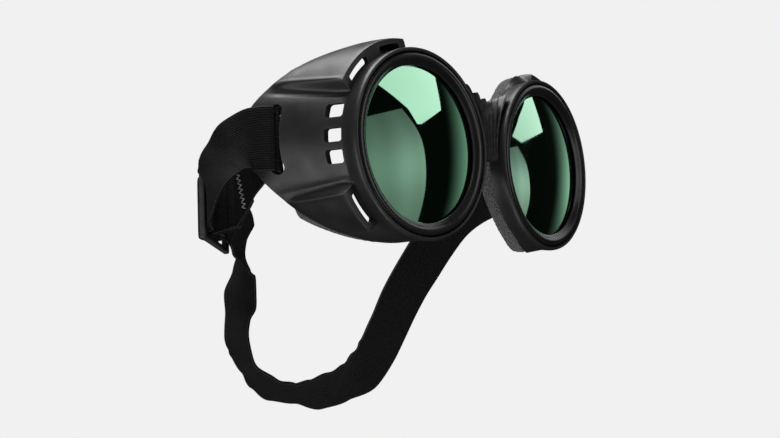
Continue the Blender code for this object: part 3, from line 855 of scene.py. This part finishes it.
def buckle_point(along, across, out):
    l_axis, w_axis, n_axis = buckle_axes()
    return Vector(BUCKLE_AT) + l_axis * along + w_axis * across + n_axis * out


def in_buckle(path):
    """Stations from (along, out) places in the buckle."""
    width = -buckle_axes()[1]
    return [(buckle_point(along, 0.0, out), width) for along, out in path]


# Routes of the strap as (centre, width direction) stations. The loop starts at the buckle and
# the others start at a slot.
OUTER_RUN = [
    ((-66.9, 29.2, 1.7), DOWN),
    ((-68.6, 30.3, 1.7), DOWN),
    ((-69.9, 34.2, 1.7), DOWN),
    ((-72.6, 38.0, 0.4), (-0.12, -0.35, -0.93)),
    ((-75.4, 41.2, -3.4), (-0.28, -0.55, -0.79)),
    ((-77.6, 43.4, -8.0), (-0.35, -0.55, -0.75)),
    ((-78.0, 45.2, -11.4), (-0.3, -0.6, -0.7)),
] + in_buckle([(-13.4, -3.4), (-10.2, -2.4), (-7.0, -1.9), (-4.4, 1.0), (-2.2, 3.6), (-0.4, 4.5)])

LOOP_RUN = in_buckle([
    (0.4, 4.5), (2.2, 3.6), (4.2, 1.0), (4.9, -2.0),
]) + [
    ((-58.5, 55.0, -18.9), (-0.47, -0.23, -0.85)),
    ((-56.6, 54.4, -21.6), (-0.73, -0.28, -0.63)),
    ((-55.0, 55.0, -24.6), (-0.76, -0.30, -0.58)),
    ((-53.7, 56.5, -27.8), (-0.63, -0.51, -0.58)),
    ((-52.4, 57.7, -31.3), (-0.48, -0.76, -0.44)),
    ((-51.7, 58.6, -35.0), (-0.39, -0.90, -0.21)),
    ((-52.7, 59.4, -40.5), (-0.22, -0.97, 0.03)),
    ((-52.7, 59.4, -46.5), (-0.24, -0.96, 0.10)),
    ((-54.5, 59.2, -51.8), (-0.33, -0.92, 0.15)),
    ((-54.9, 58.1, -57.2), (-0.41, -0.91, 0.06)),
    ((-53.4, 57.6, -61.9), (-0.36, -0.92, -0.15)),
    ((-47.9, 56.9, -66.4), (-0.16, -0.98, -0.14)),
    ((-42.0, 56.9, -69.7), (0.03, -1.0, 0.05)),
    ((-34.7, 57.0, -71.5), (0.03, -0.95, 0.32)),
    ((-24.7, 56.9, -71.3), (-0.03, -0.86, 0.51)),
    ((-14.9, 56.5, -71.3), (-0.11, -0.63, 0.77)),
    ((-4.8, 57.2, -68.3), (-0.30, -0.42, 0.85)),
    ((4.4, 56.8, -64.1), (-0.59, -0.10, 0.80)),
    ((12.9, 56.8, -55.2), (-0.76, -0.01, 0.65)),
    ((21.0, 56.7, -44.4), (-0.77, 0.04, 0.63)),
    ((29.5, 56.8, -35.0), (-0.71, 0.04, 0.71)),
    ((38.9, 56.6, -25.6), (-0.66, 0.08, 0.74)),
    ((49.0, 57.2, -16.8), (-0.52, 0.12, 0.84)),
    ((59.5, 57.4, -9.0), (-0.35, 0.12, 0.93)),
    ((69.0, 55.6, -3.4), (-0.15, 0.08, 0.98)),
    ((75.0, 51.4, -0.2), (-0.03, 0.0, 1.0)),
    ((75.8, 45.2, 1.4), UP),
    ((72.9, 38.9, 1.7), UP),
    ((69.9, 34.2, 1.7), UP),
    ((68.6, 30.3, 1.7), UP),
    ((66.9, 29.2, 1.7), UP),
]

INNER_RUN = [
    ((-65.2, 29.6, 1.7), DOWN),
    ((-63.6, 30.2, 1.2), (0.05, 0.0, -1.0)),
    ((-62.5, 32.2, 0.7), (0.1, -0.05, -1.0)),
    ((-62.3, 35.2, 0.4), (0.12, -0.2, -0.98)),
    ((-63.4, 38.0, 0.2), (0.12, -0.35, -0.93)),
    ((-65.2, 40.4, -2.4), (0.06, -0.35, -0.93)),
    ((-67.0, 42.0, -6.4), (0.0, -0.3, -0.95)),
] + in_buckle([(-8.6, -10.3), (-7.3, -8.7), (-6.1, -7.2)])

RIGHT_TAIL = [
    ((65.2, 29.6, 1.7), DOWN),
    ((63.6, 30.2, 1.7), (-0.05, 0.0, -1.0)),
    ((62.5, 32.4, 1.7), (-0.07, 0.0, -1.0)),
    ((63.0, 36.0, 1.7), (-0.07, 0.0, -1.0)),
    ((64.4, 40.2, 1.7), (-0.04, 0.0, -1.0)),
    ((67.6, 43.2, 1.6), DOWN),
    ((71.0, 45.8, 1.2), DOWN),
    ((73.2, 49.0, 0.6), DOWN),
]


# Frames where the loop is cut, the inner run is doubled and the stitch rows lie
LOOP_CUT = 12 * STRAP_STEPS
DOUBLED_FROM = 6 * STRAP_STEPS
LEFT_STITCH_AT = DOUBLED_FROM + STRAP_STEPS // 2
RIGHT_STITCH_AT = 6 * STRAP_STEPS
END_LOOP_R = 2.95
END_LOOP_HOLE_R = 1.85
END_LOOP_START = 140
END_LOOP_TURN = 270
END_LOOP_TAIL = ((-4.22, -7.6), (-5.1, -6.95), (-6.01, -6.19))
END_LOOP_EDGE = 0.25
STITCH_REACH = 0.43
STITCH_PASSES = 22
STITCH_STEPS = 6
STITCH_SWING = 0.6
STITCH_LIFT = STRAP_T / 2 + 0.12
STITCH_SINK = 0.28
THREAD_R = 0.17
THREAD_SIDES = 8


def strap_piece(obj, *nodes):
    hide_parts(*nodes)


def split_loop(frames, cut):
    """The hanging loop as two pieces that share one section and one set of normals."""
    whole = band("loop_whole", [band_mesh(frames)])
    normals = [v.normal.copy() for v in whole.data.vertices]
    size = 2 * len(ACROSS) - 2
    verts, faces, uvs = band_mesh(frames)
    bpy.data.objects.remove(whole, do_unlink=True)
    pieces = []
    for name, first, last in (("loop_near_buckle", 0, cut), ("loop_to_right", cut, len(frames) - 1)):
        lo, hi = first * size, (last + 1) * size
        picked = [
            tuple(i - lo for i in face) for face in faces
            if len(face) == 4 and min(face) >= lo and max(face) < hi
        ]
        end = size * (last - first)
        picked.append(tuple(range(size)))
        picked.append(tuple(end + j for j in range(size)))
        obj = new_object(name, verts[lo:hi], picked, ELASTIC, uvs[lo:hi])
        obj.data.normals_split_custom_set_from_vertices(normals[lo:hi])
        pieces.append(obj)
    return pieces


def build_end_loop():
    """Doubled and sewn end of the strap, closed round the buckle's middle bar."""
    outer, hole = [], []
    for step in range(0, 351, 10):
        a = math.radians(END_LOOP_START - step)
        if step <= END_LOOP_TURN:
            outer.append((END_LOOP_R * math.cos(a), END_LOOP_R * math.sin(a)))
        hole.append((END_LOOP_HOLE_R * math.cos(a), END_LOOP_HOLE_R * math.sin(a)))
    shared = len(outer)
    outer += END_LOOP_TAIL
    verts, uvs = [], []
    cuts = (-1.0, -0.97) + tuple(-0.9 + 1.8 * i / 12 for i in range(13)) + (0.97, 1.0)
    for q in cuts:
        across = q * STRAP_W / 2
        squeeze = END_LOOP_EDGE if abs(q) > 0.99 else 0.0
        for ring, sign in ((outer, -1.0), (hole, 1.0)):
            for k, (along, out) in enumerate(ring):
                r = math.hypot(along, out)
                s = 1.0 + sign * squeeze / r if r < END_LOOP_R + END_LOOP_EDGE else 1.0
                p = buckle_point(along * s, across, out * s)
                verts.append(Vector((p.x, p.y - FRONT_TO_SEAT, p.z)) * MM)
                uvs.append(((q + 1) / 2, k * 0.03))
    n_o, n_h = len(outer), len(hole)
    size = n_o + n_h
    faces = []
    for c in range(len(cuts) - 1):
        a, b = c * size, (c + 1) * size
        for base, n in ((0, n_o), (n_o, n_h)):
            for j in range(n):
                k = (j + 1) % n
                faces.append((a + base + j, a + base + k, b + base + k, b + base + j))
    for c in (0, len(cuts) - 1):
        a = c * size
        for j in range(shared - 1):
            faces.append((a + j, a + j + 1, a + n_o + j + 1, a + n_o + j))
        rim = [a + j for j in range(shared - 1, n_o)] + [a]
        inner = [a + n_o + (j % n_h) for j in range(n_h, shared - 2, -1)]
        faces.append(tuple(rim + inner))
    return new_object("end_loop_elastic", verts, faces, ELASTIC, uvs)


def stitches(name, frame_at):
    """Zigzag thread that dips into the strap at each turn."""
    pos, wide, normal = frame_at
    ahead = wide.cross(normal)
    line = []
    for i in range(STITCH_PASSES):
        for k in range(STITCH_STEPS):
            t = (i + k / STITCH_STEPS) / STITCH_PASSES
            swing = STITCH_SWING * (1 - 2 * (k / STITCH_STEPS)) * (1 if i % 2 else -1)
            sink = abs(2 * (k / STITCH_STEPS) - 1) ** 6
            across = lerp(-STITCH_REACH, STITCH_REACH, t) * STRAP_W
            line.append((across, swing, STITCH_LIFT - STITCH_SINK * sink))
    points = [
        pos + wide * a + ahead * b + normal * c - Vector((0.0, FRONT_TO_SEAT, 0.0)) for a, b, c in line
    ]
    verts, faces = [], []
    sides = THREAD_SIDES
    for i, p in enumerate(points):
        t = (points[min(i + 1, len(points) - 1)] - points[max(i - 1, 0)]).normalized()
        u = normal.cross(t).normalized()
        for s in range(sides):
            a = 2 * math.pi * s / sides
            verts.append((p + (u * math.cos(a) + normal * math.sin(a)) * THREAD_R) * MM)
    for i in range(len(points) - 1):
        a, b = i * sides, (i + 1) * sides
        for s in range(sides):
            k = (s + 1) % sides
            faces.append((a + s, a + k, b + k, b + s))
    faces.append(tuple(range(sides)))
    faces.append(tuple((len(points) - 1) * sides + s for s in range(sides)))
    obj = new_object(name, verts, faces, THREAD)
    return obj


def build_strap():
    outer = band("outer_run_elastic", [band_mesh(ribbon_frames(OUTER_RUN))])
    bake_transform(outer)
    strap_piece(outer, "strap_outer_run")

    frames = ribbon_frames(LOOP_RUN, square=0.2, square_end=1.0)
    near, far = split_loop(frames, LOOP_CUT)
    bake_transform(near)
    strap_piece(near, "strap_loop")
    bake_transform(far)
    strap_piece(far, "strap_loop")

    inner_frames = ribbon_frames(INNER_RUN, square=0.15)
    inner = band("inner_run_elastic", [
        band_mesh(inner_frames),
        band_mesh(inner_frames[DOUBLED_FROM:], -LAYER),
    ])
    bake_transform(inner)
    strap_piece(inner, "strap_inner_run")

    end_loop = build_end_loop()
    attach(end_loop, "buckle")
    strap_piece(end_loop, "strap_end_loop")

    tail_frames = ribbon_frames(RIGHT_TAIL)
    tail = band("right_end_elastic", [band_mesh(tail_frames)])
    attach(tail, "right_eyepiece")
    strap_piece(tail, "strap_right_end")

    left = stitches("stitch_left_thread", inner_frames[LEFT_STITCH_AT])
    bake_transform(left)
    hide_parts("stitching_left")
    right = stitches("stitch_right_thread", tail_frames[RIGHT_STITCH_AT])
    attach(right, "right_eyepiece")
    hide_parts("stitching_right")


# ------------------------ CAD nodes that stay
def dress_frame():
    for name in SIDES:
        for slot in NODES[f"lens_seal_{name}"].material_slots:
            slot.material = SEAL
    for slot in NODES["slide_buckle"].material_slots:
        slot.material = BUCKLE


# ------------------------ camera and light
CAM_AT = Vector((-0.31487, -0.22776, -0.05943))
CAM_AZ, CAM_EL, CAM_ROLL = (math.radians(a) for a in (-50.711, -6.037, -1.923))
CAM_LENS = 56.468
BACKDROP = 0.879
WORLD_FILL = 0.30
WORLD_MIRRORED = 0.014
FLOOR_BELOW = 0.03
FLOOR_HALF = 6.0


def place_camera():
    back = Vector((
        math.sin(CAM_AZ) * math.cos(CAM_EL), -math.cos(CAM_AZ) * math.cos(CAM_EL), math.sin(CAM_EL),
    ))
    x = Vector((0.0, 0.0, 1.0)).cross(back).normalized()
    y = back.cross(x)
    right = x * math.cos(CAM_ROLL) + y * math.sin(CAM_ROLL)
    up = y * math.cos(CAM_ROLL) - x * math.sin(CAM_ROLL)
    data = bpy.data.cameras.new("camera")
    data.lens = CAM_LENS
    data.sensor_width = 36.0
    data.clip_start = 0.01
    data.clip_end = 20.0
    cam = bpy.data.objects.new("camera", data)
    cam.matrix_world = Matrix((
        (right.x, up.x, back.x, CAM_AT.x),
        (right.y, up.y, back.y, CAM_AT.y),
        (right.z, up.z, back.z, CAM_AT.z),
        (0.0, 0.0, 0.0, 1.0),
    ))
    bpy.context.scene.collection.objects.link(cam)
    bpy.context.scene.camera = cam


def plain_emission(name, color, strength):
    mat = bpy.data.materials.new(name)
    mat.use_nodes = True
    tree = mat.node_tree
    tree.nodes.clear()
    glow = tree.nodes.new("ShaderNodeEmission")
    glow.inputs["Color"].default_value = (*color, 1.0)
    glow.inputs["Strength"].default_value = strength
    out = tree.nodes.new("ShaderNodeOutputMaterial")
    out.name = "Material Output"
    tree.links.new(glow.outputs[0], out.inputs[0])
    return mat, tree, glow


def build_floor():
    """Floor that only the camera sees, as bright as the backdrop."""
    z = CAD_BOX[0].z - FLOOR_BELOW
    sides = ((-1, -1), (1, -1), (1, 1), (-1, 1))
    corners = [(x * FLOOR_HALF, y * FLOOR_HALF, z) for x, y in sides]
    mat, _, _ = plain_emission("studio_floor", (1.0, 1.0, 1.0), BACKDROP)
    floor = new_object("studio_floor", corners, [(0, 1, 2, 3)], mat)
    floor.visible_glossy = False
    floor.visible_diffuse = False
    floor.visible_shadow = False
    floor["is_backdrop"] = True


def build_world():
    """Pale behind the object, dark in its reflections, moderate as fill light."""
    world = bpy.data.worlds.new("studio")
    bpy.context.scene.world = world
    world.use_nodes = True
    tree = world.node_tree
    background = tree.nodes["Background"]
    path = tree.nodes.new("ShaderNodeLightPath")
    glossy = tree.nodes.new("ShaderNodeMix")
    glossy.data_type = "FLOAT"
    tree.links.new(path.outputs["Is Glossy Ray"], glossy.inputs[0])
    glossy.inputs[2].default_value = WORLD_FILL
    glossy.inputs[3].default_value = WORLD_MIRRORED
    seen = tree.nodes.new("ShaderNodeMix")
    seen.data_type = "FLOAT"
    tree.links.new(path.outputs["Is Camera Ray"], seen.inputs[0])
    tree.links.new(glossy.outputs[0], seen.inputs[2])
    seen.inputs[3].default_value = BACKDROP
    background.inputs["Color"].default_value = (1.0, 1.0, 1.0, 1.0)
    tree.links.new(seen.outputs[0], background.inputs["Strength"])


def light_only(light, objects):
    group = bpy.data.collections.new(light.name + "_receivers")
    for o in objects:
        group.objects.link(o)
    light.light_linking.receiver_collection = group


def area(name, at, toward, size, power, objects):
    """Rectangular lamp that lights only the objects given."""
    data = bpy.data.lights.new(name, "AREA")
    data.shape = "RECTANGLE"
    data.size, data.size_y = size
    data.energy = power
    lamp = bpy.data.objects.new(name, data)
    lamp.location = at
    lamp.rotation_mode = "QUATERNION"
    lamp.rotation_quaternion = (Vector(toward) - Vector(at)).to_track_quat("-Z", "Y")
    bpy.context.scene.collection.objects.link(lamp)
    lamp.visible_camera = False
    light_only(lamp, objects)


# Softboxes that each lens mirrors: corner rows of (one side, other side), top to bottom, in metres.
PANELS = {
    "key_left": (13.0, "left", "flat", (
        ((0.18, -0.41, 0.22), (0.34, -0.25, 0.26)),
        ((0.19, -0.41, 0.20), (0.35, -0.28, 0.20)),
        ((0.27, -0.38, 0.15), (0.36, -0.30, 0.15)),
        ((0.29, -0.37, 0.12), (0.30, -0.36, 0.12)),
    )),
    "low_left": (4.4, "left", "streaks", (
        ((0.07, -0.48, 0.11), (0.25, -0.39, 0.15)),
        ((0.06, -0.49, 0.03), (0.30, -0.37, 0.09)),
        ((0.06, -0.49, -0.05), (0.31, -0.37, 0.00)),
        ((0.08, -0.47, -0.14), (0.29, -0.38, -0.09)),
    )),
    "edge_left": (3.4, "left", "rise", (
        ((0.34, -0.26, 0.25), (0.45, -0.08, 0.24)),
        ((0.37, -0.29, 0.15), (0.48, -0.08, 0.15)),
        ((0.37, -0.32, -0.01), (0.48, -0.15, 0.01)),
        ((0.34, -0.34, -0.10), (0.44, -0.21, -0.09)),
    )),
    "key_right": (8.5, "right", "flat", (
        ((0.45, -0.21, 0.20), (0.46, -0.20, 0.20)),
        ((0.42, -0.28, 0.16), (0.47, -0.20, 0.16)),
        ((0.39, -0.32, 0.12), (0.48, -0.20, 0.13)),
        ((0.42, -0.30, 0.11), (0.42, -0.29, 0.11)),
    )),
    "low_right": (4.4, "right", "streaks", (
        ((0.35, -0.36, 0.09), (0.40, -0.31, 0.10)),
        ((0.33, -0.38, 0.05), (0.43, -0.29, 0.06)),
        ((0.33, -0.39, 0.00), (0.44, -0.29, 0.00)),
        ((0.34, -0.38, -0.06), (0.42, -0.31, -0.06)),
    )),
    "edge_right": (2.6, "right", "rise", (
        ((0.47, -0.17, 0.21), (0.54, 0.04, 0.19)),
        ((0.50, -0.16, 0.14), (0.57, 0.16, 0.13)),
        ((0.51, -0.18, 0.03), (0.57, 0.03, 0.04)),
        ((0.49, -0.21, -0.05), (0.59, 0.07, -0.02)),
    )),
}
PANEL_COLUMNS = 24
PANEL_STEPS = 8
PANEL_COLOR = (0.68, 1.0, 0.80)
EDGE_COLOR = (0.50, 1.0, 0.68)


def panel_glow(kind, u, v):
    """Brightness of a panel, u across it and v down it."""
    if kind == "flat":
        return 1.0 - 0.12 * u
    if kind == "rise":
        return smooth(u * 2.0) * (0.75 + 0.25 * math.sin(math.pi * v))
    streak = 0.5 + 0.5 * math.sin(u * 17.0 + 1.3 * math.sin(3.0 * v))
    spot = 0.85 + 0.55 * math.exp(-((v - 0.52) / 0.2) ** 2) * smooth(u * 1.3 - 0.1)
    return (0.86 + 0.14 * streak) * (0.55 + 0.45 * smooth(v * 2.2)) * lerp(1.0, 0.85, v) * spot


def build_panel(name, strength, lens, kind, rows):
    """Glowing sheet through the corner rows, straight-edged if flat and curved otherwise."""
    columns = PANEL_COLUMNS
    sides = [[(Vector(row[e]), Vector(UP)) for row in rows] for e in (0, 1)]
    if kind == "flat":
        fine = []
        for i in range(len(rows) - 1):
            for k in range(PANEL_STEPS):
                t = k / PANEL_STEPS
                fine.append(tuple(side[i][0].lerp(side[i + 1][0], t) for side in sides))
        fine.append(tuple(side[-1][0] for side in sides))
    else:
        left, right = (spline(side, PANEL_STEPS) for side in sides)
        fine = [(one[0], other[0]) for one, other in zip(left, right)]
    verts, glows = [], []
    for i, (a, b) in enumerate(fine):
        for j in range(columns + 1):
            u = j / columns
            verts.append(a.lerp(b, u))
            glows.append(panel_glow(kind, u, i / (len(fine) - 1)))
    faces = []
    size = columns + 1
    for i in range(len(fine) - 1):
        for j in range(columns):
            a = i * size + j
            faces.append((a, a + 1, a + size + 1, a + size))
    color = EDGE_COLOR if kind == "rise" else PANEL_COLOR
    mat, tree, glow = plain_emission(name, color, strength)
    level = tree.nodes.new("ShaderNodeAttribute")
    level.attribute_name = "glow"
    times = tree.nodes.new("ShaderNodeMath")
    times.operation = "MULTIPLY"
    times.inputs[1].default_value = strength
    tree.links.new(level.outputs["Fac"], times.inputs[0])
    tree.links.new(times.outputs[0], glow.inputs["Strength"])
    # See-through, so that one lens's panels don't hide the other's
    clear = tree.nodes.new("ShaderNodeBsdfTransparent")
    both = tree.nodes.new("ShaderNodeAddShader")
    tree.links.new(glow.outputs[0], both.inputs[0])
    tree.links.new(clear.outputs[0], both.inputs[1])
    tree.links.new(both.outputs[0], tree.nodes["Material Output"].inputs[0])
    panel = new_object("panel_" + name, verts, faces, mat)
    layer = panel.data.attributes.new("glow", "FLOAT", "POINT")
    layer.data.foreach_set("value", glows)
    panel.visible_camera = False
    panel.visible_diffuse = False
    panel.visible_shadow = False
    panel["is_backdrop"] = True
    light_only(panel, [LENSES[lens]])


def build_light():
    build_world()
    build_floor()
    for name, (strength, lens, kind, rows) in PANELS.items():
        build_panel(name, strength, lens, kind, rows)
    lenses = set(LENSES.values())
    rest = [o for o in bpy.context.scene.objects if o.type == "MESH" and o not in lenses]
    rest = [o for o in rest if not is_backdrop(o)]
    rings = [o for o in rest if o.name.startswith("ring_")]
    plain = [o for o in rest if o not in rings]
    straps = [o for o in rest if "elastic" in o.name or o.name.startswith("loop_")]
    centre = (-0.03, 0.01, -0.01)
    area("soft_above", (-0.14, 0.14, 0.78), centre, (0.9, 0.5), 9.0, rest)
    area("soft_left", (-0.75, 0.25, -0.30), centre, (0.5, 0.5), 2.0, [o for o in plain if o not in straps])
    area("soft_brow", (0.70, -0.20, 0.50), centre, (0.6, 0.5), 1.1, rings)
    area("soft_strap", (-0.45, -0.35, -0.60), (-0.02, 0.03, -0.07), (0.4, 0.4), 2.2, straps)
    area("soft_front", (0.10, -0.80, 0.10), centre, (0.5, 0.7), 1.5, rest)
    area("soft_below", (-0.30, -0.10, -0.70), centre, (0.5, 0.5), 1.6, rest)


place_camera()
dress_frame()
LENSES = {}
for cup_name, cup_side in SIDES.items():
    build_cup(cup_name, cup_side)
    build_ring(cup_name, cup_side)
    LENSES[cup_name] = build_lens(cup_name, cup_side)
    build_foam(cup_name, cup_side)
build_bridge()
build_strap()
build_light()

bpy.context.scene.view_settings.view_transform = "Standard"
bpy.context.scene.view_settings.look = "None"
